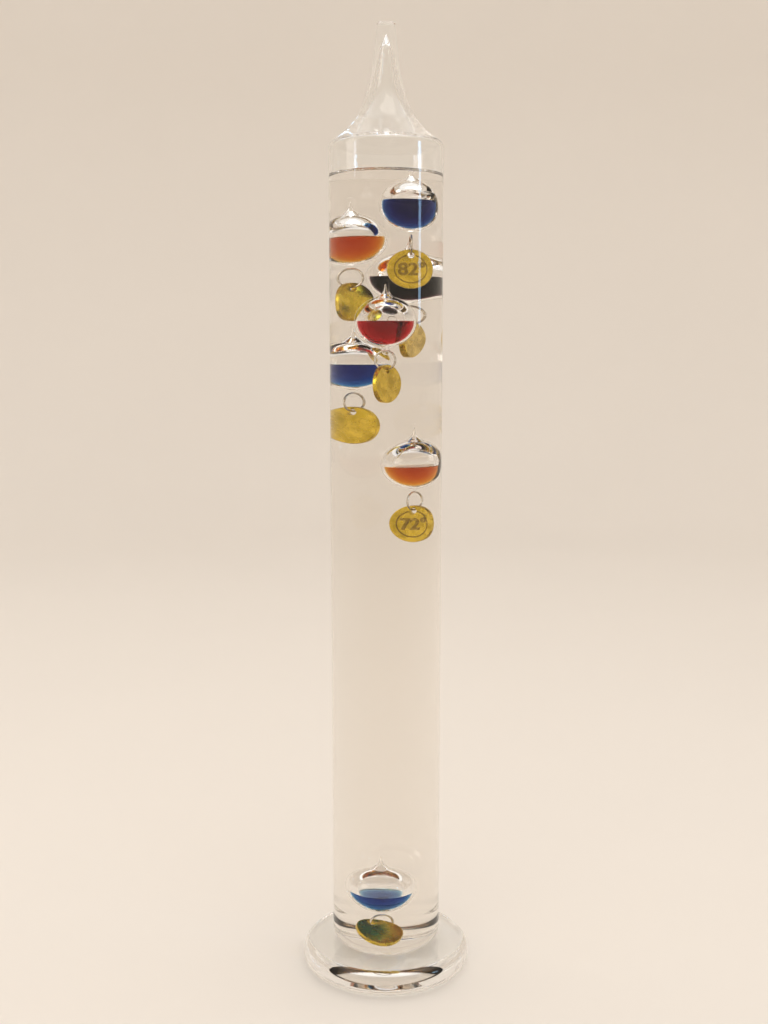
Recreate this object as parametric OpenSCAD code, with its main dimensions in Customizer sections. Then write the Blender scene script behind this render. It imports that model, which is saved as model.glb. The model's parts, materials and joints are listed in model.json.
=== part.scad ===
// Galileo thermometer: a sealed glass tube of clear liquid on a round glass foot,
// with seven sealed glass floats that rise and sink as the liquid's density changes.
// Frame: +Z up, origin at the centre of the foot's underside, -Y towards the viewer.

/* [Foot] */
// Diameter of the round glass foot
foot_d = 80; // [70:1:100]
// Thickness of the foot
foot_t = 12; // [10:0.5:16]
// Radius of the foot's rounded rim
foot_rim_r = 5; // [2:0.5:5]
// Diameter of the cured glue film between foot and tube
film_d = 38; // [24:1:38]
// Thickness of the glue film
film_t = 0.3; // [0.2:0.1:0.6]

/* [Tube] */
// Overall height from the table to the tip of the spire
total_h = 438; // [436:1:466]
// Outer diameter of the tube
tube_d = 51.5; // [51.5:0.5:56]
// Thickness of the tube's wall
wall = 1.4; // [1.2:0.1:1.4]
// Thickness of the tube's floor
floor_t = 2; // [1.5:0.5:3]
// Radius of the outer corner at the tube's bottom
heel_r = 5.5; // [4:0.5:6]
// Radius of the outer corner under the spire
shoulder_r = 4; // [3:0.5:5]
// Height of the drawn spire
spire_h = 51.5; // [44:0.5:56]
// Diameter of the cut tip
tip_d = 7.8; // [6:0.2:9]
// Share of the spire's widening that is a straight cone; the rest comes in a flare at its foot
cone_share = 0.28; // [0.2:0.02:0.4]
// How sharply the spire flares at its foot, as the power of its curve
flare_p = 5; // [4:0.5:6]
// Height of the liquid's surface above the table
liquid_h = 372; // [368:1:374]

/* [Floats] */
// Outer diameter of a float's bulb
bulb_d = 22.3; // [20:0.1:22.3]
// Thickness of a bulb's wall
bulb_wall = 0.5; // [0.5:0.1:0.8]
// Height of a float's tip above the middle of its bulb
stem_h = 18.5; // [17:0.5:18.5]
// Diameter of a float's glass stem
stem_d = 2.4; // [2:0.2:3]
// Radius of the hollow curve from bulb to stem
neck_r = 4; // [3:0.5:5]
// Diameter of the hole in a float's eyelet
eyelet_hole_d = 1.5; // [1.4:0.1:1.6]

/* [Rings and tags] */
// Diameter of the ring's wire
wire_d = 0.8; // [0.6:0.1:0.8]
// Mean diameter of the ring
ring_d = 8.2; // [8.2:0.1:8.6]
// Diameter of a brass tag
tag_d = 17; // [15:0.5:17]
// Thickness of a tag
tag_t = 2; // [1.4:0.2:2]
// Diameter of the hole in a tag
tag_hole_d = 2.6; // [2.6:0.1:2.8]
// Width of metal between a tag's hole and its rim
tag_lip = 1.2; // [1:0.1:1.4]

/* [Hidden] */
$fn = 96;
// Each row is a float: temperature in degrees Fahrenheit, x, y and height of the bulb's middle,
// filled share of the bulb's height, turn about the vertical, the tag's place round its ring,
// the tag's skew on the wire and its turn about its own hole, and the colour of its dye.
FLOATS = [
    [82, 8.6, -6.6, 358.5, 0.58, -78, 0, 0, 0, "midnightblue"],
    [80, -10.4, 3.6, 344.4, 0.53, -36, 0, -16, 0, "darkorange"],
    [78, 5.8, 11.4, 328, 0.5, -8, 0, 0, 0, "black"],
    [76, -0.2, -7.6, 308, 0.5, -30, 0, 0, 0, "crimson"],
    [74, -9, 7.8, 288.7, 0.5, -142, 0, 14, 0, "mediumblue"],
    [72, 9.3, -1.5, 244, 0.45, -118, 0, 10, 0, "darkorange"],
    [70, -1.6, 1, 39.2, 0.42, 30, 90, 28, -88, "royalblue"],
];

tube_r = tube_d / 2;
bore_r = tube_r - wall;
tube_z = foot_t + film_t;
floor_z = tube_z + floor_t;
// The hollow of the spire flares a little lower down than its outside, from a fine bore that
// starts at this share of the spire's height below the tip, under a pointed end of this height.
hollow_drop = 0.43 * wall;
hollow_tip_r = 0.5;
hollow_from = 0.2;
hollow_end = 1.5;
bulb_r = bulb_d / 2;
hollow_r = bulb_r - bulb_wall;
stem_r = stem_d / 2;
neck_z = sqrt(pow(bulb_r + neck_r, 2) - pow(stem_r + neck_r, 2));
// The eyelet is a small torus under the bulb, and its bore lies along local X.
eyelet_r = 1.35;
eyelet_wire_r = 0.72;
eyelet_z = -bulb_r - 1.45;
ring_r = ring_d / 2;
wire_r = wire_d / 2;
// How far the ring's wire lies below the middle of the eyelet's bore.
ring_drop = 0.2;
ring_z = eyelet_z - ring_drop - ring_r;
tag_r = tag_d / 2;
hole_off = tag_r - tag_lip - tag_hole_d / 2;
// How far a tag's hole lies outside the ring's wire: where the tag hangs, and where it lies on the floor.
hang_drop = 0.45;
lying_drop = -0.18;
// Gap between a dye and its bulb, and the room that the liquid leaves round each float.
dye_gap = 0.05;
room = 0.25;

function arc(cx, cy, r, from, to, n) =
    [for (i = [0:n]) let (a = from + (to - from) * i / n) [cx + r * cos(a), cy + r * sin(a)]];

// Radius at share s of the way down a flare, from r0 at its top to r1 at its foot.
function flare(s, r0, r1) = r0 + (r1 - r0) * (cone_share * s + (1 - cone_share) * pow(s, flare_p));

// Points of the spire's flare from share s0 of its height down to the tube's rounded shoulder.
function side(z_top, r0, r1, corner, s0, n) =
    let (
        foot_slope = (r1 - r0) * (cone_share + (1 - cone_share) * flare_p),
        reach = 1 - corner * (1 - cos(45)) / foot_slope,
        z_arc = z_top - reach * spire_h - corner * sin(45)
    )
    concat(
        [for (i = [0:n]) let (s = s0 + (reach - s0) * i / n) [flare(s, r0, r1), z_top - s * spire_h]],
        arc(r1 - corner, z_arc, corner, 36, 0, 4)
    );

module foot() {
    color("aliceblue")
    rotate_extrude()
    polygon(concat(
        [[0, 0]],
        arc(foot_d / 2 - foot_rim_r, foot_rim_r, foot_rim_r, -90, 0, 8),
        arc(foot_d / 2 - foot_rim_r, foot_t - foot_rim_r, foot_rim_r, 0, 90, 8),
        [[0, foot_t]]
    ));
}

module glue_film() {
    color("ivory")
    translate([0, 0, foot_t])
    cylinder(d = film_d, h = film_t);
}

// The space inside the tube, up to the closed end of the spire's hollow.
module tube_hollow() {
    inner_heel = heel_r - wall;
    z_top = total_h - hollow_drop;
    rotate_extrude()
    polygon(concat(
        [[0, z_top - hollow_from * spire_h + hollow_end]],
        side(z_top, hollow_tip_r, bore_r, shoulder_r - wall, hollow_from, 16),
        arc(bore_r - inner_heel, floor_z + inner_heel, inner_heel, 0, -90, 6),
        [[0, floor_z]]
    ));
}

module glass_tube() {
    color("lightcyan", 0.4)
    difference() {
        rotate_extrude()
        polygon(concat(
            [[0, total_h]],
            side(total_h, tip_d / 2, tube_r, shoulder_r, 0, 18),
            arc(tube_r - heel_r, tube_z + heel_r, heel_r, 0, -90, 6),
            [[0, tube_z]]
        ));
        tube_hollow();
    }
}

// Moves its children from a float's own frame, at the middle of its bulb, to its resting place.
module place(f) {
    translate([f[1], f[2], f[3]])
    rotate([0, 0, f[5]])
    children();
}

// A float's ring hangs in the local XZ plane, with its wire through the eyelet's bore.
module ring_shape() {
    translate([0, 0, ring_z])
    rotate([90, 0, 0])
    rotate_extrude()
    translate([ring_r, 0])
    circle(r = wire_r, $fn = 32);
}

// Moves its children from the middle of a tag's hole to where it hangs on its ring.
module hang(f) {
    translate([0, 0, ring_z])
    rotate([0, f[6], 0])
    translate([0, 0, -ring_r - (f[6] == 0 ? hang_drop : lying_drop)])
    rotate([0, 0, f[7]])
    rotate([f[8], 0, 0])
    children();
}

module tag_disc(grow = 0) {
    translate([-tag_t / 2 - grow, 0, -hole_off])
    rotate([0, 90, 0])
    cylinder(r = tag_r + grow, h = tag_t + 2 * grow);
}

// The outside of a bulb, its neck and its stem.
module bulb_outside() {
    sphere(r = bulb_r);
    neck_angle = atan2(neck_z, stem_r + neck_r);
    low = [bulb_r * cos(neck_angle), bulb_r * sin(neck_angle)];
    rotate_extrude()
    polygon(concat(
        [[0, low[1] - 1], [low[0] - 0.6, low[1] - 1]],
        arc(stem_r + neck_r, neck_z, neck_r, 180 + neck_angle, 180, 7),
        arc(0, stem_h - stem_r, stem_r, 0, 90, 5)
    ));
}

module float_glass(f) {
    color("azure", 0.5)
    place(f)
    difference() {
        union() {
            bulb_outside();
            translate([0, 0, eyelet_z])
            rotate([0, 90, 0])
            rotate_extrude()
            translate([eyelet_r, 0])
            circle(r = eyelet_wire_r, $fn = 32);
        }
        sphere(r = hollow_r);
        translate([0, 0, hollow_r - 1.2])
        cylinder(r1 = 3, r2 = 0.5, h = 5);
        translate([-2, 0, eyelet_z])
        rotate([0, 90, 0])
        cylinder(d = eyelet_hole_d, h = 4);
    }
}

module dye(f) {
    color(f[9])
    place(f)
    intersection() {
        sphere(r = hollow_r - dye_gap);
        translate([-bulb_r, -bulb_r, -bulb_r])
        cube([bulb_d, bulb_d, f[4] * bulb_d]);
    }
}

module ring(f) {
    color("silver")
    place(f)
    ring_shape();
}

module tag(f) {
    color("goldenrod")
    place(f)
    hang(f)
    difference() {
        tag_disc();
        translate([-tag_t, 0, 0])
        rotate([0, 90, 0])
        cylinder(d = tag_hole_d, h = 2 * tag_t);
    }
}

// The room that one float, its ring and its tag take up in the liquid.
module float_room(f) {
    place(f) {
        sphere(r = bulb_r + room);
        translate([0, 0, neck_z - 5])
        cylinder(r1 = 6, r2 = stem_r + room, h = 6);
        translate([0, 0, neck_z])
        cylinder(r = stem_r + room, h = stem_h - neck_z + room);
        translate([-1.2, 0, eyelet_z])
        rotate([0, 90, 0])
        cylinder(r = eyelet_r + eyelet_wire_r + room, h = 2.4);
        translate([0, wire_r + room, ring_z])
        rotate([90, 0, 0])
        cylinder(r = ring_r + wire_r + room, h = wire_d + 2 * room);
        hang(f)
        tag_disc(room);
    }
}

module fill_liquid() {
    color("whitesmoke", 0.2)
    difference() {
        intersection() {
            tube_hollow();
            translate([-tube_r, -tube_r, 0])
            cube([tube_d, tube_d, liquid_h]);
        }
        for (f = FLOATS) float_room(f);
    }
}

foot();
glue_film();
glass_tube();
fill_liquid();
for (f = FLOATS) {
    float_glass(f);
    dye(f);
    ring(f);
    tag(f);
}
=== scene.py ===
"""Looks of the Galileo thermometer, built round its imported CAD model.

Metres, +Z up, -Y towards the viewer. Light passes between touching media only once: each glass or
liquid face has the refractive index of its solid relative to what lies on its other side, so that
glass in liquid nearly vanishes.
"""
import json
import math

import bmesh
import bpy
from mathutils import Matrix, Vector


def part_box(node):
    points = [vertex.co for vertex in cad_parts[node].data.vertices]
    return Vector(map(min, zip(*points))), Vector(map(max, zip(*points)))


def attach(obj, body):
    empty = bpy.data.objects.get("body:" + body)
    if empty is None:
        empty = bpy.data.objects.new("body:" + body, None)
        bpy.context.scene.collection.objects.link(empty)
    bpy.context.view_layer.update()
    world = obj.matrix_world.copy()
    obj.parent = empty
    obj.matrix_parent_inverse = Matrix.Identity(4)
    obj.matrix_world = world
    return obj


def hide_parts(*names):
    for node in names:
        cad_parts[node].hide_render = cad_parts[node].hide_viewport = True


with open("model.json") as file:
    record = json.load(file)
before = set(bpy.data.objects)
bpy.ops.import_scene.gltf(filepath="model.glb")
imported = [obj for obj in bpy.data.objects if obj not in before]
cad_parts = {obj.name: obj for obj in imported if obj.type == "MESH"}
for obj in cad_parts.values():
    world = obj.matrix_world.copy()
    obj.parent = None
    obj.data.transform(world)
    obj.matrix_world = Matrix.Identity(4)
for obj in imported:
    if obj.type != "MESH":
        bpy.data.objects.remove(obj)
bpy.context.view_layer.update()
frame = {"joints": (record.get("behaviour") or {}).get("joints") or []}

MM = 0.001
TEMPERATURES = (82, 80, 78, 76, 74, 72, 70)
# The tags whose numerals are on the side that their swing axis points to; the others hang reversed.
FRONT_NUMERALS = (82, 72, 70)

# Refractive indices of the media.
GLASS_N = 1.51
FILL_N = 1.46
DYE_N = 1.38
GLUE_N = 1.5

# The foot and the glue. Each wave is (size as a share of the radius, number round the rim, phase).
FOOT_RIM_R = 5 * MM
FOOT_SAG = 0.25 * MM
FOOT_WAVY_FROM = 0.7
FOOT_WAVES = ((0.004, 2, 0.5), (0.003, 3, 1.9))
FOOT_TRIM = 0.006
GLUE_GAP = 0.02 * MM
GLUE_BULGE = 0.2 * MM
GLUE_WAVES = ((0.010, 3, 0), (0.005, 7, 1))
GLUE_TRIM = 0.015

# The tube. Its spire widens as a cone plus a power of the share of its height.
WALL = 1.4 * MM
FLOOR_T = 2 * MM
HEEL_R = 5.5 * MM
SHOULDER_R = 4 * MM
SPIRE_H = 51.5 * MM
TIP_R = 3.9 * MM
CONE_SHARE = 0.28
FLARE_P = 5
HOLLOW_TIP_R = 0.35 * MM
HOLLOW_FROM = 0.2
HOLLOW_DROP = 0.6 * MM
HOLLOW_END = 6 * MM
FILL_GAP = 0.02 * MM
MENISCUS_H = 1.1 * MM
MENISCUS_W = 2.2 * MM

# A float.
BULB_WALL = 0.5 * MM
STEM_H = 18.5 * MM
STEM_R = 1.2 * MM
STEM_HOLLOW_H = 16.6 * MM
STEM_HOLLOW_R = 0.5 * MM
THROAT_P = 3.2
NECK_R = 4 * MM
EYELET_R = 1.42 * MM
EYELET_WIRE_R = 0.66 * MM
EYELET_DROP = 1.45 * MM
DYE_GAP = 0.03 * MM
DYE_MENISCUS_H = 0.35 * MM
DYE_MENISCUS_W = 0.9 * MM

# A ring and its tag.
WIRE_R = 0.4 * MM
RING_CUT_DEG = 3
TAG_T = 2 * MM
TAG_EDGE = 0.25 * MM
TAG_HOLE_R = 1.3 * MM
TAG_HOLE_RIM = 1.2 * MM
BORDER_R = 6 * MM
BORDER_WIRE_R = 0.3 * MM
BORDER_SINK = 0.1 * MM
NUMERAL_H = 7.4 * MM
NUMERAL_RELIEF = 0.3 * MM
NUMERAL_EDGE = 0.12 * MM
NUMERAL_BOLD = 0.1 * MM
NUMERAL_SHIFT = (0.4 * MM, -0.3 * MM)

SEGMENTS = 128
# The mark on a liquid's faces that are open to the air.
OPEN_SURFACE = "open_surface"


# ---------------------------------------------------------------- materials

def new_material(name):
    """A material with an empty node tree, and its output node."""
    material = bpy.data.materials.new(name)
    material.use_nodes = True
    nodes = material.node_tree.nodes
    nodes.clear()
    return material, nodes, material.node_tree.links, nodes.new("ShaderNodeOutputMaterial")


def object_noise(nodes, links, scale, detail=2.0, stretch=(1, 1, 1)):
    """Noise in the object's own coordinates, stretched along its axes."""
    coordinates = nodes.new("ShaderNodeTexCoord")
    mapping = nodes.new("ShaderNodeMapping")
    mapping.inputs["Scale"].default_value = stretch
    noise = nodes.new("ShaderNodeTexNoise")
    noise.inputs["Scale"].default_value = scale
    noise.inputs["Detail"].default_value = detail
    links.new(coordinates.outputs["Object"], mapping.inputs["Vector"])
    links.new(mapping.outputs["Vector"], noise.inputs["Vector"])
    return noise


def add_bump(nodes, links, shader, height, distance, strength=1.0):
    """Bumps the shader's surface by a height socket."""
    bump = nodes.new("ShaderNodeBump")
    bump.inputs["Strength"].default_value = strength
    bump.inputs["Distance"].default_value = distance
    links.new(height, bump.inputs["Height"])
    links.new(bump.outputs["Normal"], shader.inputs["Normal"])


def clear_shader(nodes, ior, tint=(1, 1, 1)):
    """A polished face that lets light through and bends it."""
    glass = nodes.new("ShaderNodeBsdfPrincipled")
    glass.inputs["Base Color"].default_value = (*tint, 1)
    glass.inputs["Roughness"].default_value = 0.0
    glass.inputs["IOR"].default_value = ior
    glass.inputs["Transmission Weight"].default_value = 1.0
    return glass


def let_lamps_through(nodes, links, shader, tint, output):
    """Sends a shader to the surface, but lets the light of lamps pass straight through it."""
    through = nodes.new("ShaderNodeBsdfTransparent")
    through.inputs["Color"].default_value = (*tint, 1)
    path = nodes.new("ShaderNodeLightPath")
    mix = nodes.new("ShaderNodeMixShader")
    links.new(path.outputs["Is Shadow Ray"], mix.inputs["Fac"])
    links.new(shader, mix.inputs[1])
    links.new(through.outputs["BSDF"], mix.inputs[2])
    links.new(mix.outputs["Shader"], output.inputs["Surface"])


def glass_material(name, ior, tint=(1, 1, 1), wave=None, shine=0.5):
    """Clear glass. wave is the (scale, stretch, height) of its hand-drawn unevenness, and shine
    how strongly it mirrors the studio, which is 0.5 for bare glass."""
    material, nodes, links, output = new_material(name)
    glass = clear_shader(nodes, ior, tint)
    glass.inputs["Specular IOR Level"].default_value = shine
    if wave:
        scale, stretch, height = wave
        noise = object_noise(nodes, links, scale, 1.0, stretch)
        add_bump(nodes, links, glass, noise.outputs["Fac"], height)
    let_lamps_through(nodes, links, glass.outputs["BSDF"], tint, output)
    return material


def liquid_material(name, surface_ior, colour, density):
    """A dyed liquid in a glass that bends the light for both of them. Only the liquid's open
    surface bends light itself, and it is told from the sides by a mark on its faces."""
    material, nodes, links, output = new_material(name)
    side = clear_shader(nodes, 1.0)
    surface = clear_shader(nodes, surface_ior)
    mark = nodes.new("ShaderNodeAttribute")
    mark.attribute_name = OPEN_SURFACE
    faces = nodes.new("ShaderNodeMixShader")
    links.new(mark.outputs["Fac"], faces.inputs["Fac"])
    links.new(side.outputs["BSDF"], faces.inputs[1])
    links.new(surface.outputs["BSDF"], faces.inputs[2])
    let_lamps_through(nodes, links, faces.outputs["Shader"], (1, 1, 1), output)
    volume = nodes.new("ShaderNodeVolumeAbsorption")
    volume.inputs["Color"].default_value = (*colour, 1)
    volume.inputs["Density"].default_value = density
    links.new(volume.outputs["Volume"], output.inputs["Volume"])
    return material


def metal_material(name, bright, dull, rough, scratch):
    """Polished metal with a mottled tarnish and fine scratches. rough is its lowest and highest
    roughness, and scratch the depth of the scratches."""
    material, nodes, links, output = new_material(name)
    metal = nodes.new("ShaderNodeBsdfPrincipled")
    metal.inputs["Metallic"].default_value = 1.0
    tarnish = object_noise(nodes, links, 260, 4.0)
    tone = nodes.new("ShaderNodeValToRGB")
    tone.color_ramp.elements[0].position = 0.35
    tone.color_ramp.elements[0].color = (*dull, 1)
    tone.color_ramp.elements[1].position = 0.65
    tone.color_ramp.elements[1].color = (*bright, 1)
    links.new(tarnish.outputs["Fac"], tone.inputs["Fac"])
    links.new(tone.outputs["Color"], metal.inputs["Base Color"])
    sheen = nodes.new("ShaderNodeMapRange")
    sheen.inputs["From Min"].default_value = 0.3
    sheen.inputs["From Max"].default_value = 0.7
    sheen.inputs["To Min"].default_value = rough[1]
    sheen.inputs["To Max"].default_value = rough[0]
    links.new(tarnish.outputs["Fac"], sheen.inputs["Value"])
    links.new(sheen.outputs["Result"], metal.inputs["Roughness"])
    lines = object_noise(nodes, links, 900, 3.0, (1, 1, 6))
    add_bump(nodes, links, metal, lines.outputs["Fac"], scratch)
    links.new(metal.outputs["BSDF"], output.inputs["Surface"])
    return material


def stage_material(name, colour):
    """Matt painted board with a very slight mottle."""
    material, nodes, links, output = new_material(name)
    board = nodes.new("ShaderNodeBsdfPrincipled")
    board.inputs["Roughness"].default_value = 0.8
    mottle = object_noise(nodes, links, 3, 3.0)
    tone = nodes.new("ShaderNodeValToRGB")
    tone.color_ramp.elements[0].color = (*[0.97 * c for c in colour], 1)
    tone.color_ramp.elements[1].color = (*colour, 1)
    links.new(mottle.outputs["Fac"], tone.inputs["Fac"])
    links.new(tone.outputs["Color"], board.inputs["Base Color"])
    links.new(board.outputs["BSDF"], output.inputs["Surface"])
    return material


# Dissolved dyes: the colour that passes, and how densely the dye takes the others.
NAVY = ((0.02, 0.48, 0.78), 640)
BLUE = ((0.02, 0.58, 0.83), 540)
ORANGE = ((0.92, 0.67, 0.03), 440)
RED = ((0.88, 0.03, 0.10), 600)
PLUM = ((0.55, 0.25, 0.42), 1200)
DYES = {82: NAVY, 80: ORANGE, 78: PLUM, 76: RED, 74: BLUE, 72: ORANGE, 70: BLUE}

# The fill liquid takes a little light from long paths through it.
FILL_TINT = ((0.80, 0.72, 0.62), 9)

# The unevenness of the glass: its scale, how it is stretched, and its height.
TUBE_WAVE = (45, (1, 1, 0.12), 0.012 * MM)
FOOT_WAVE = (60, (1, 1, 1), 0.03 * MM)
GLUE_WAVE = (300, (1, 1, 1), 0.02 * MM)
FLOAT_WAVE = (150, (1, 1, 1), 0.01 * MM)

tube_dry = glass_material("tube_glass_in_air", GLASS_N, (0.985, 0.99, 0.985), TUBE_WAVE, 0.3)
tube_wet = glass_material("tube_glass_in_liquid", GLASS_N / FILL_N)
tube_glued = glass_material("tube_glass_on_glue", GLASS_N / GLUE_N)
foot_glass = glass_material("foot_glass", GLASS_N, (0.968, 0.968, 0.96), FOOT_WAVE)
foot_glued = glass_material("foot_glass_under_glue", GLASS_N / GLUE_N)
glue_clear = glass_material("clear_glue", 1.0, (0.985, 0.98, 0.965), GLUE_WAVE)
fill_clear = liquid_material("fill_liquid", FILL_N, *FILL_TINT)
float_wet = glass_material("float_glass_in_liquid", GLASS_N / FILL_N, wave=FLOAT_WAVE)
float_dry = glass_material("float_glass_in_air", GLASS_N, wave=FLOAT_WAVE)
float_dyed = glass_material("float_glass_on_dye", GLASS_N / DYE_N)
brass = metal_material("tag_brass", (0.80, 0.57, 0.06), (0.52, 0.36, 0.02), (0.2, 0.34), 0.004 * MM)
patina = metal_material("tag_patina", (0.40, 0.27, 0.04), (0.24, 0.15, 0.02), (0.22, 0.4), 0.004 * MM)
steel = metal_material("ring_wire", (0.72, 0.68, 0.60), (0.50, 0.44, 0.36), (0.12, 0.28), 0.002 * MM)


# ---------------------------------------------------------------- shapes

def arc(cx, cy, radius, start, end, steps):
    """Points of an arc, its angles in degrees."""
    angles = [math.radians(start + (end - start) * i / steps) for i in range(steps + 1)]
    return [(cx + radius * math.cos(a), cy + radius * math.sin(a)) for a in angles]


def revolve(bm, profile, slots=0, flip=False):
    """Turns a profile of (radius, height) about Z. Its faces look outwards where it climbs.
    slots is one material slot, or one for each stretch between two points."""
    rings = []
    for radius, z in profile:
        if radius < 1e-7:
            rings.append([bm.verts.new((0, 0, z))])
            continue
        turns = [2 * math.pi * j / SEGMENTS for j in range(SEGMENTS)]
        rings.append([bm.verts.new((radius * math.cos(t), radius * math.sin(t), z)) for t in turns])
    for i, (low, high) in enumerate(zip(rings, rings[1:])):
        for j in range(SEGMENTS):
            k = (j + 1) % SEGMENTS
            corners = [low[j % len(low)], low[k % len(low)], high[k % len(high)], high[j % len(high)]]
            corners = list(dict.fromkeys(corners))
            face = bm.faces.new(corners[::-1] if flip else corners)
            face.material_index = slots if isinstance(slots, int) else slots[i]
            face.smooth = True


def mesh_from(name, bm, matrix=None):
    """A mesh of what bm holds, moved by matrix. It frees bm."""
    mesh = bpy.data.meshes.new(name)
    bm.to_mesh(mesh)
    bm.free()
    if matrix:
        mesh.transform(matrix)
    return mesh


def mark_surface(mesh):
    """Turns slot 1 of a liquid's mesh into the mark of its open surface, which leaves it with
    one material."""
    mark = mesh.attributes.new(OPEN_SURFACE, "FLOAT", "FACE")
    mark.data.foreach_set("value", [float(face.material_index) for face in mesh.polygons])
    mesh.polygons.foreach_set("material_index", [0] * len(mesh.polygons))
    return mesh


def evaluated_mesh(obj):
    """A new mesh of obj with its modifiers or its curve's bevel applied."""
    bpy.context.view_layer.update()
    return bpy.data.meshes.new_from_object(obj.evaluated_get(bpy.context.evaluated_depsgraph_get()))


def linked(name, data):
    """A new object of the scene that shows data."""
    obj = bpy.data.objects.new(name, data)
    bpy.context.scene.collection.objects.link(obj)
    return obj


def piece(name, mesh, materials, body, node):
    """A finished piece: its materials, the body it rides on, and the CAD node it
    stands for."""
    obj = linked(name, mesh)
    for material in materials:
        mesh.materials.append(material)
    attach(obj, body)
    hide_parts(node)
    return obj


def joint(name):
    """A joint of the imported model."""
    return next(j for j in frame["joints"] if j["name"] == name)


def turned_place(centre, t):
    """The place of what is centred there and faces along the swing axis of ring t."""
    axis = Vector(joint(f"ring_swing_{t}")["axis"])
    return Matrix.Translation(centre) @ Matrix.Rotation(math.atan2(axis.y, axis.x), 4, "Z")


def ripple(vertex, waves):
    """How far a wavy rim stands out at a vertex, as a share of its radius."""
    turn = math.atan2(vertex.co.y, vertex.co.x)
    return sum(size * math.cos(count * turn + phase) for size, count, phase in waves)


def meniscus(edge_r, level, width, height, steps):
    """The rim of a liquid's surface, from where it climbs the glass down to the level."""
    return [(edge_r - width * i / steps, level + height * (1 - i / steps) ** 3)
            for i in range(steps + 1)]


# ---------------------------------------------------------------- the foot and the tube

def flare_side(z_top, r_top, r_side, corner, first, steps):
    """The spire's flare from a share of its height down to the tube's rounded shoulder."""
    foot_slope = (r_side - r_top) * (CONE_SHARE + (1 - CONE_SHARE) * FLARE_P)
    reach = 1 - corner * (1 - math.cos(math.radians(45))) / foot_slope
    z_arc = z_top - reach * SPIRE_H - corner * math.sin(math.radians(45))
    shares = [first + (reach - first) * i / steps for i in range(steps + 1)]
    widening = [CONE_SHARE * s + (1 - CONE_SHARE) * s ** FLARE_P for s in shares]
    flare = [(r_top + (r_side - r_top) * w, z_top - s * SPIRE_H) for s, w in zip(shares, widening)]
    return flare + arc(r_side - corner, z_arc, corner, 40, 0, 8)


def make_foot():
    """The glass disc. Its rim is a little wavy, and its top sags a little towards the rim."""
    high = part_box("foot")[1]
    radius = high.x
    flat_r = radius - FOOT_RIM_R
    glue_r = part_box("glue_film")[1].x
    rim = arc(flat_r, FOOT_RIM_R, FOOT_RIM_R, -90, 0, 16)
    rim += arc(flat_r, high.z - FOOT_RIM_R, FOOT_RIM_R, 0, 90, 16)
    top = [(flat_r - (flat_r - glue_r) * i / 8, high.z) for i in range(1, 9)]
    outside = [(0, 0), (0.5 * radius, 0)] + rim + top + [(0, high.z)]
    bm = bmesh.new()
    revolve(bm, outside, [0] * (len(outside) - 2) + [1])
    for vertex in bm.verts:
        turn = math.atan2(vertex.co.y, vertex.co.x)
        share = max(0, vertex.co.xy.length / radius - FOOT_WAVY_FROM) / (1 - FOOT_WAVY_FROM)
        vertex.co.xy *= 1 - share * (FOOT_TRIM - ripple(vertex, FOOT_WAVES))
        if vertex.co.z > 0.5 * high.z:
            vertex.co.z -= share * FOOT_SAG * (1 + math.cos(2 * turn - 0.8))
    mesh = mesh_from("foot_disc", bm)
    piece("foot_disc", mesh, [foot_glass, foot_glued], "root", "foot")


def make_glue():
    """The thin layer between foot and tube, squeezed out unevenly."""
    low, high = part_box("glue_film")
    bottom = low.z + GLUE_GAP
    top = high.z - GLUE_GAP
    edge = [(high.x, bottom), (high.x + GLUE_BULGE, (low.z + high.z) / 2), (high.x, top)]
    bm = bmesh.new()
    revolve(bm, [(0, bottom)] + edge + [(0, top)])
    for vertex in bm.verts:
        vertex.co.xy *= 1 - GLUE_TRIM + ripple(vertex, GLUE_WAVES)
    piece("glue_layer", mesh_from("glue_layer", bm), [glue_clear], "root", "glue_film")


def hollow_profile(low, high, radius, shrink=0.0):
    """Two stretches of the tube's inside, drawn in by shrink: its floor with the rounded
    corner, and its side from there up to the closed point of the spire."""
    inner_heel = HEEL_R - WALL
    bore = radius - WALL - shrink
    floor_z = low.z + FLOOR_T + shrink
    side = flare_side(high.z - HOLLOW_DROP, HOLLOW_TIP_R, bore, SHOULDER_R - WALL, HOLLOW_FROM, 48)
    side.insert(0, (0, side[0][1] + HOLLOW_END))
    lower = [(0, floor_z)] + arc(bore - inner_heel, floor_z + inner_heel, inner_heel, -90, 0, 10)
    return lower, side[::-1]


def make_tube():
    """The sealed tube, with its wall wet up to the meniscus and a rounded lip round its tip."""
    low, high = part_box("glass_tube")
    radius = high.x
    glue_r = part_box("glue_film")[1].x
    heel = arc(radius - HEEL_R, low.z + HEEL_R, HEEL_R, -90, 0, 16)
    outer = flare_side(high.z, TIP_R, radius, SHOULDER_R, 0.01, 48)
    lip = [
        (TIP_R + 0.25 * MM, high.z - 0.35 * MM),
        (TIP_R + 0.2 * MM, high.z - 0.1 * MM),
        (TIP_R - 0.3 * MM, high.z),
        (0, high.z - 0.3 * MM),
    ]
    outside = [(0, low.z), (glue_r, low.z)] + heel + outer[::-1] + lip
    bm = bmesh.new()
    revolve(bm, outside, [2] + [0] * (len(outside) - 2))
    lower, upper = hollow_profile(low, high, radius)
    wet_edge = (radius - WALL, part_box("fill_liquid")[1].z + MENISCUS_H)
    slots = [1] * len(lower) + [0] * len(upper)
    revolve(bm, lower + [wet_edge] + upper, slots, flip=True)
    mesh = mesh_from("tube", bm)
    mesh.set_sharp_from_angle(angle=math.radians(50))
    piece("tube", mesh, [tube_dry, tube_wet, tube_glued], "root", "glass_tube")


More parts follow.
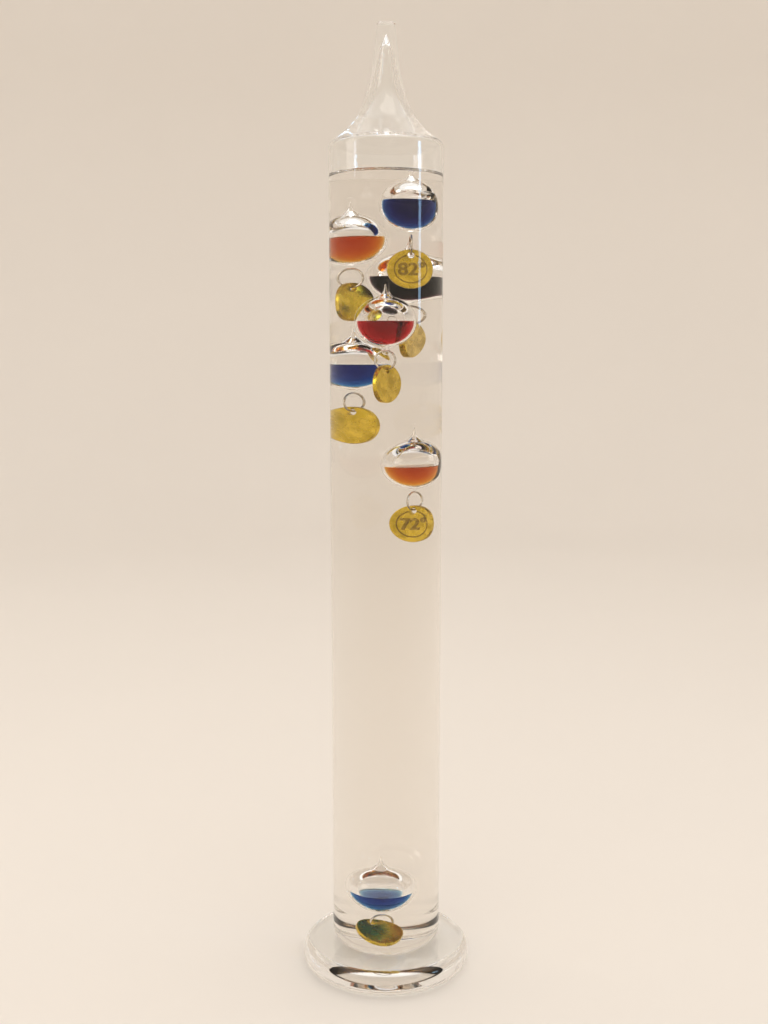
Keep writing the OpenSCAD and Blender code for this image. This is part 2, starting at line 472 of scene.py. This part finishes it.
def make_fill():
    """The clear liquid in the tube. Its surface climbs the wall a little."""
    low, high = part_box("glass_tube")
    liquid_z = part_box("fill_liquid")[1].z
    lower = hollow_profile(low, high, high.x, FILL_GAP)[0]
    rise = meniscus(lower[-1][0], liquid_z, MENISCUS_W, MENISCUS_H, 10)
    bm = bmesh.new()
    revolve(bm, lower + rise + [(0, liquid_z)], [0] * len(lower) + [1] * len(rise))
    mesh = mark_surface(mesh_from("fill", bm))
    piece("fill", mesh, [fill_clear], "root", "fill_liquid")


# ---------------------------------------------------------------- the floats

def torus(bm, radius, wire, steps, sides, cut_deg=0.0, axis="X"):
    """A ring of wire about the axis X or Y, closed or with a narrow cut at its side."""
    cut = math.radians(cut_deg)
    count = steps if not cut_deg else steps + 1
    hoops = []
    for i in range(count):
        turn = (cut / 2 + (2 * math.pi - cut) * i / steps) if cut_deg else 2 * math.pi * i / steps
        hoop = []
        for j in range(sides):
            side = 2 * math.pi * j / sides
            reach = radius + wire * math.cos(side)
            flat = (reach * math.cos(turn), reach * math.sin(turn))
            across = wire * math.sin(side)
            point = (across, flat[0], flat[1]) if axis == "X" else (flat[0], across, flat[1])
            hoop.append(bm.verts.new(point))
        hoops.append(hoop)
    for i in range(steps):
        here, there = hoops[i], hoops[(i + 1) % count]
        for j in range(sides):
            k = (j + 1) % sides
            face = bm.faces.new((here[j], here[k], there[k], there[j]))
            face.smooth = True
    if cut_deg:
        bm.faces.new(hoops[0])
        bm.faces.new(hoops[-1][::-1])
    bmesh.ops.recalc_face_normals(bm, faces=bm.faces)


def float_shell(bulb_r):
    """The outside of a blown float with its drawn stem, and the eyelet fused under it."""
    neck_z = math.sqrt((bulb_r + NECK_R) ** 2 - (STEM_R + NECK_R) ** 2)
    neck_deg = math.degrees(math.atan2(neck_z, STEM_R + NECK_R))
    nipple = [
        (0, -bulb_r - 0.9 * MM),
        (0.5 * MM, -bulb_r - 0.8 * MM),
        (0.85 * MM, -bulb_r - 0.45 * MM),
    ]
    ball = arc(0, 0, bulb_r, -82, neck_deg, 56)
    neck = arc(STEM_R + NECK_R, neck_z, NECK_R, 180 + neck_deg, 180, 14)
    bead = arc(0, STEM_H - STEM_R, STEM_R, 0, 90, 8)
    bead[-1] = (0, STEM_H)
    bm = bmesh.new()
    revolve(bm, nipple + ball + neck[1:] + bead)
    bulb = linked("float_outside", mesh_from("float_outside", bm))
    bm = bmesh.new()
    torus(bm, EYELET_R, EYELET_WIRE_R, 48, 24)
    under_bulb = Matrix.Translation((0, 0, -bulb_r - EYELET_DROP))
    eyelet = linked("float_eyelet", mesh_from("float_eyelet", bm, under_bulb))
    union = bulb.modifiers.new("fuse", "BOOLEAN")
    union.operation = "UNION"
    union.solver = "EXACT"
    union.object = eyelet
    shell = evaluated_mesh(bulb)
    for helper in (bulb, eyelet):
        bpy.data.objects.remove(helper)
    return shell


def cavity_profile(hollow_r):
    """The inside of a float from its bottom to the closed point in its neck."""
    ball = arc(0, 0, hollow_r, -90, 73, 48)
    ball[0] = (0, -hollow_r)
    top_r, top_z = ball[-1]
    reach = STEM_HOLLOW_H - top_z
    throat = []
    for share in [i / 12 for i in range(1, 12)]:
        radius = top_r * (1 - share) ** THROAT_P + STEM_HOLLOW_R * (1 - 0.4 * share)
        throat.append((radius, top_z + reach * share))
    return ball + throat + [(0, STEM_HOLLOW_H)]


def make_float(t, shell):
    """Float t: a copy of the blown shell, hollowed. Its glass meets liquid, air and dye."""
    low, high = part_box(f"float_{t}")
    bulb_r = (high.x - low.x) / 2
    centre = Vector(((low.x + high.x) / 2, (low.y + high.y) / 2, high.z - STEM_H))
    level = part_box(f"dye_{t}")[1].z - centre.z + DYE_MENISCUS_H
    hollow_r = bulb_r - BULB_WALL
    profile = cavity_profile(hollow_r)
    first_dry = next(i for i, (_, z) in enumerate(profile) if z > level)
    profile.insert(first_dry, (math.sqrt(hollow_r ** 2 - level ** 2), level))
    slots = [2] * first_dry + [1] * (len(profile) - 1 - first_dry)
    bm = bmesh.new()
    bm.from_mesh(shell)
    revolve(bm, profile, slots, flip=True)
    mesh = mesh_from(f"bulb_{t}", bm, turned_place(centre, t))
    mesh.set_sharp_from_angle(angle=math.radians(60))
    materials = [float_wet, float_dry, float_dyed]
    piece(f"bulb_{t}", mesh, materials, f"float_{t}", f"float_{t}")
    return centre, bulb_r


def make_dye(t, centre, bulb_r):
    """The coloured liquid in float t, which stays level and so rides on the travel body."""
    radius = bulb_r - BULB_WALL - DYE_GAP
    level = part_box(f"dye_{t}")[1].z - centre.z
    edge_deg = math.degrees(math.asin((level + DYE_MENISCUS_H) / radius))
    bowl = arc(0, 0, radius, -90, edge_deg, 40)
    bowl[0] = (0, -radius)
    rise = meniscus(bowl[-1][0], level, DYE_MENISCUS_W, DYE_MENISCUS_H, 8)[1:]
    slots = [0] * (len(bowl) - 1) + [1] * (len(rise) + 1)
    bm = bmesh.new()
    revolve(bm, bowl + rise + [(0, level)], slots)
    mesh = mark_surface(mesh_from(f"dye_liquid_{t}", bm, Matrix.Translation(centre)))
    liquid = liquid_material(f"dye_{t}", DYE_N, *DYES[t])
    piece(f"dye_liquid_{t}", mesh, [liquid], f"travel_{t}", f"dye_{t}")


# ---------------------------------------------------------------- rings and tags

def make_ring(t):
    """The bent wire ring of float t."""
    low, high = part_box(f"ring_{t}")
    bm = bmesh.new()
    torus(bm, (high.z - low.z) / 2 - WIRE_R, WIRE_R, 96, 20, RING_CUT_DEG, axis="Y")
    mesh = mesh_from(f"ring_wire_{t}", bm, turned_place((low + high) / 2, t))
    mesh.set_sharp_from_angle(angle=math.radians(50))
    piece(f"ring_wire_{t}", mesh, [steel], f"ring_{t}", f"ring_{t}")


def curve_mesh(name, loops, cyclic, **settings):
    """The mesh of a curve through lists of (x, y) points, with the given curve settings."""
    curve = bpy.data.curves.new(name, "CURVE")
    for key, value in settings.items():
        setattr(curve, key, value)
    for points in loops:
        spline = curve.splines.new("POLY")
        spline.points.add(len(points) - 1)
        for target, (x, y) in zip(spline.points, points):
            target.co = (x, y, 0, 1)
        spline.use_cyclic_u = cyclic
    obj = linked(name, curve)
    mesh = evaluated_mesh(obj)
    bpy.data.objects.remove(obj)
    return mesh


def numeral_mesh(words):
    """Raised numerals in the XY plane, centred on the origin."""
    text = bpy.data.curves.new("numerals", "FONT")
    text.body = words
    text.size = NUMERAL_H
    text.align_x = "CENTER"
    text.align_y = "CENTER"
    text.offset = NUMERAL_BOLD
    text.extrude = NUMERAL_RELIEF
    text.bevel_depth = NUMERAL_EDGE
    text.bevel_resolution = 1
    obj = linked("numerals", text)
    mesh = evaluated_mesh(obj)
    bpy.data.objects.remove(obj)
    return mesh


def tag_blank(tag_r, hole_off):
    """The disc of a tag, with its hole at the origin and its face towards +Z, and its raised
    border, which stops short of the hole."""
    rim = arc(0, -hole_off, tag_r, 0, 360, 128)[:-1]
    hole = arc(0, 0, TAG_HOLE_R, 0, 360, 48)[:-1]
    disc = curve_mesh("tag_disc", [rim, hole], True, dimensions="2D", fill_mode="BOTH",
                      extrude=TAG_T / 2 - TAG_EDGE, bevel_depth=TAG_EDGE, bevel_resolution=3,
                      offset=-TAG_EDGE)
    gap = math.degrees(1.25 * TAG_HOLE_R / BORDER_R)
    line = arc(0, -hole_off, BORDER_R, 90 + gap, 450 - gap, 96)
    border = curve_mesh("tag_border", [line], False, dimensions="3D", fill_mode="FULL",
                        bevel_depth=BORDER_WIRE_R, bevel_resolution=3, use_fill_caps=True)
    border.transform(Matrix.Translation((0, 0, TAG_T / 2 - BORDER_SINK)))
    return disc, border


def make_tag(t):
    """The brass tag of float t, hanging from its hole as the CAD tag does."""
    low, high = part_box(f"tag_{t}")
    swing = joint(f"tag_swing_{t}")
    hole = Vector(swing["pos_m"])
    normal = Vector(swing["axis"]) * (1 if t in FRONT_NUMERALS else -1)
    down = (low + high) / 2 - hole
    hole_off = down.length
    up = -down.normalized()
    right = up.cross(normal)
    place = Matrix((right, up, normal)).transposed().to_4x4()
    place.translation = hole
    disc, border = tag_blank(hole_off + TAG_HOLE_R + TAG_HOLE_RIM, hole_off)
    numerals = numeral_mesh(f"{t}°")
    shift_x, shift_y = NUMERAL_SHIFT
    numerals.transform(Matrix.Translation((shift_x, shift_y - hole_off, TAG_T / 2)))
    bm = bmesh.new()
    for part, slot in ((disc, 0), (border, 1), (numerals, 1)):
        first = len(bm.faces)
        bm.from_mesh(part)
        bm.faces.ensure_lookup_table()
        for face in bm.faces[first:]:
            face.smooth = True
            face.material_index = slot
    bmesh.ops.remove_doubles(bm, verts=bm.verts, dist=1e-7)
    mesh = mesh_from(f"tag_disc_{t}", bm, place)
    mesh.set_sharp_from_angle(angle=math.radians(35))
    piece(f"tag_disc_{t}", mesh, [brass, patina], f"tag_{t}", f"tag_{t}")


# ---------------------------------------------------------------- stage, lights and camera

def make_stage():
    """A pale round floor that curves up into a wall on every side."""
    floor_r = 1.3
    curve_r = 0.9
    top = 2.6
    bm = bmesh.new()
    cove = arc(floor_r, curve_r, curve_r, -90, 0, 24)
    revolve(bm, [(0, 0), (0.2, 0), (0.7, 0)] + cove + [(floor_r + curve_r, top)], flip=True)
    bowl = linked("studio_bowl", mesh_from("studio_bowl", bm))
    bowl.data.materials.append(stage_material("studio_board", (0.80, 0.75, 0.69)))
    bowl.location.z = -0.0002


def area_light(name, place, aim, size, watts, colour=(1, 1, 1)):
    """A soft rectangular lamp at place that faces aim."""
    lamp = bpy.data.lights.new(name, "AREA")
    lamp.shape = "RECTANGLE"
    lamp.size, lamp.size_y = size
    lamp.energy = watts
    lamp.color = colour
    obj = linked(name, lamp)
    obj.location = place
    obj.rotation_euler = (Vector(aim) - Vector(place)).to_track_quat("-Z", "Y").to_euler()
    return obj


def around(azimuth_deg, distance, z):
    """A point at an angle to the viewer's right of the front, seen from the object."""
    a = math.radians(azimuth_deg)
    return (distance * math.sin(a), -distance * math.cos(a), z)


def make_lights():
    """Two soft lamps, which the glass doesn't mirror, two small bluish windows, which it does,
    and an even pale sky."""
    middle = (0, 0, 0.25)
    above = (0.2, -0.3, 1.9)
    overhead = area_light("overhead_softbox", above, middle, (1.2, 1.2), 9, (1, 0.97, 0.93))
    beside = around(-75, 1.5, 0.9)
    side = area_light("left_softbox", beside, middle, (0.7, 1.0), 5, (1, 0.96, 0.92))
    for lamp in (overhead, side):
        lamp.visible_glossy = False
    right_place = around(70, 1.0, 0.46)
    area_light("right_window", right_place, (0, 0, 0.35), (0.10, 0.24), 0.55, (0.40, 0.68, 1))
    left_place = around(-64, 1.0, 0.56)
    area_light("left_window", left_place, (0, 0, 0.38), (0.05, 0.05), 0.025, (0.60, 0.72, 1))
    world = bpy.data.worlds.new("studio")
    world.use_nodes = True
    sky = world.node_tree.nodes["Background"]
    sky.inputs["Color"].default_value = (1, 0.97, 0.94, 1)
    sky.inputs["Strength"].default_value = 1.1
    bpy.context.scene.world = world


def make_camera():
    """A camera just in front of the object, looking a little down on it."""
    camera = bpy.data.cameras.new("camera")
    camera.sensor_width = 36
    camera.lens = 42.47
    camera.shift_x = -0.002
    camera.shift_y = 0.0088
    camera.clip_start = 0.01
    tilt_deg = 8.2
    obj = linked("camera", camera)
    obj.location = (0, -0.5574, 0.297)
    obj.rotation_euler = (math.radians(90 - tilt_deg), 0, 0)
    bpy.context.scene.camera = obj


def make_look():
    """Plain colours, and enough bounces for light to cross all the nested glass and liquid."""
    scene = bpy.context.scene
    scene.view_settings.view_transform = "Standard"
    scene.cycles.use_denoising = True
    scene.cycles.max_bounces = 64
    scene.cycles.transmission_bounces = 64
    scene.cycles.transparent_max_bounces = 64
    scene.cycles.glossy_bounces = 64
    scene.cycles.sample_clamp_indirect = 8


make_camera()
make_look()
make_stage()
make_lights()
make_foot()
make_glue()
make_tube()
make_fill()
bulb_low, bulb_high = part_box("float_82")
blown_shell = float_shell((bulb_high.x - bulb_low.x) / 2)
for temperature in TEMPERATURES:
    bulb_centre, bulb_radius = make_float(temperature, blown_shell)
    make_dye(temperature, bulb_centre, bulb_radius)
    make_ring(temperature)
    make_tag(temperature)
